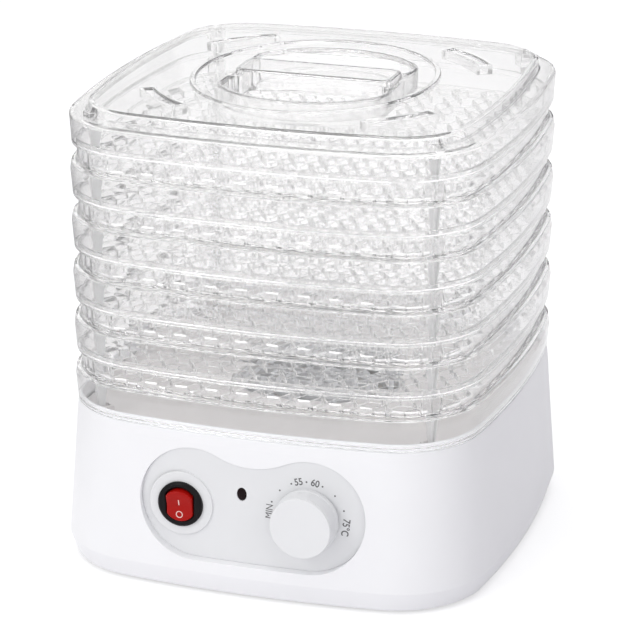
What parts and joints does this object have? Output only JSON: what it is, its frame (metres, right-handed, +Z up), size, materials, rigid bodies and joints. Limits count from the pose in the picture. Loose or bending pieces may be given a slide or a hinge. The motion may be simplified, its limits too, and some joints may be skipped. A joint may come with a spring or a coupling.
{
  "type": "food dehydrator",
  "caption": "Countertop food dehydrator: round-cornered square base with heater, fan and thermostat dial, see-through stacking trays with grid floors, and a vented lid with a recessed grip.",
  "frame": {"origin": "on the surface the feet stand on, below the centre of the tray stack", "axes": "+Z up along the stack's axis, -Y out of the control panel, +X to the right of someone facing the panel"},
  "size_m": [0.2544, 0.2644, 0.27],
  "materials": {
    "housing_white": "smooth near-white moulded plastic",
    "deck_grey": "smooth pale grey moulded plastic",
    "grille_grey": "fine satin moulded plastic",
    "cover_white": "satin moulded plastic",
    "foot_rubber": "matt rubber",
    "screw_steel": "zinc-plated steel",
    "panel_grey": "satin light grey moulded plastic",
    "bezel_black": "smooth black plastic",
    "rocker_red": "translucent red plastic",
    "lens_dark_red": "dark red lens",
    "knob_white": "smooth white plastic",
    "shaft_steel": "turned steel",
    "thermostat_metal": "pressed brass-plated case",
    "motor_steel": "laminated steel",
    "bracket_steel": "galvanised sheet",
    "fan_plastic": "black heat-resistant plastic",
    "mica_board": "pressed mica board",
    "coil_wire": "oxidised resistance wire",
    "cutout_ceramic": "ceramic cap",
    "tray_clear": "clear polystyrene",
    "lid_clear": "clear polystyrene"
  },
  "bodies": {
    "base": {"base_housing": "housing_white", "deck": "deck_grey", "air_grille": "grille_grey", "bottom_cover": "cover_white", "foot_1": "foot_rubber", "foot_2": "foot_rubber", "foot_3": "foot_rubber", "foot_4": "foot_rubber", "cover_screw_1": "screw_steel", "cover_screw_2": "screw_steel", "cover_screw_3": "screw_steel", "cover_screw_4": "screw_steel", "control_panel": "panel_grey", "switch_bezel": "bezel_black", "indicator_lens": "lens_dark_red", "thermostat_body": "thermostat_metal", "fan_motor": "motor_steel", "motor_bracket": "bracket_steel", "heater_frame": "mica_board", "heater_coil": "coil_wire", "thermal_cutout": "cutout_ceramic", "cord_gland": "cover_white"},
    "tray_1": {"tray_1_wall": "tray_clear", "tray_1_floor": "tray_clear"},
    "tray_2": {"tray_2_wall": "tray_clear", "tray_2_floor": "tray_clear"},
    "tray_3": {"tray_3_wall": "tray_clear", "tray_3_floor": "tray_clear"},
    "tray_4": {"tray_4_wall": "tray_clear", "tray_4_floor": "tray_clear"},
    "tray_5": {"tray_5_wall": "tray_clear", "tray_5_floor": "tray_clear"},
    "lid": {"lid_rim": "lid_clear", "lid_top": "lid_clear", "lid_grip": "lid_clear"},
    "rocker": {"switch_rocker": "rocker_red"},
    "dial": {"thermostat_knob": "knob_white", "thermostat_shaft": "shaft_steel"},
    "fan": {"motor_shaft": "shaft_steel", "fan_impeller": "fan_plastic"}
  },
  "joints": [
    {"name": "tray_1_lift", "type": "slide", "parent": "base", "child": "tray_1", "axis": [0, 0, 1], "range_m": [0, 0.06]},
    {"name": "tray_2_lift", "type": "slide", "parent": "tray_1", "child": "tray_2", "axis": [0, 0, 1], "range_m": [0, 0.06]},
    {"name": "tray_3_lift", "type": "slide", "parent": "tray_2", "child": "tray_3", "axis": [0, 0, 1], "range_m": [0, 0.06]},
    {"name": "tray_4_lift", "type": "slide", "parent": "tray_3", "child": "tray_4", "axis": [0, 0, 1], "range_m": [0, 0.06]},
    {"name": "tray_5_lift", "type": "slide", "parent": "tray_4", "child": "tray_5", "axis": [0, 0, 1], "range_m": [0, 0.06]},
    {"name": "lid_lift", "type": "slide", "parent": "tray_5", "child": "lid", "axis": [0, 0, 1], "range_m": [0, 0.06]},
    {"name": "rocker_tip", "type": "hinge", "parent": "base", "child": "rocker", "pos_m": [-0.0392, -0.1214, 0.0511], "axis": [-1, 0, 0], "range_deg": [0, 16]},
    {"name": "dial_turn", "type": "hinge", "parent": "base", "child": "dial", "pos_m": [0.0343, -0.1214, 0.0513], "axis": [0, 1, 0], "range_deg": [0, 240]},
    {"name": "fan_spin", "type": "hinge", "parent": "base", "child": "fan", "pos_m": [0, 0, 0.05], "axis": [0, 0, 1], "continuous": true}
  ]
}
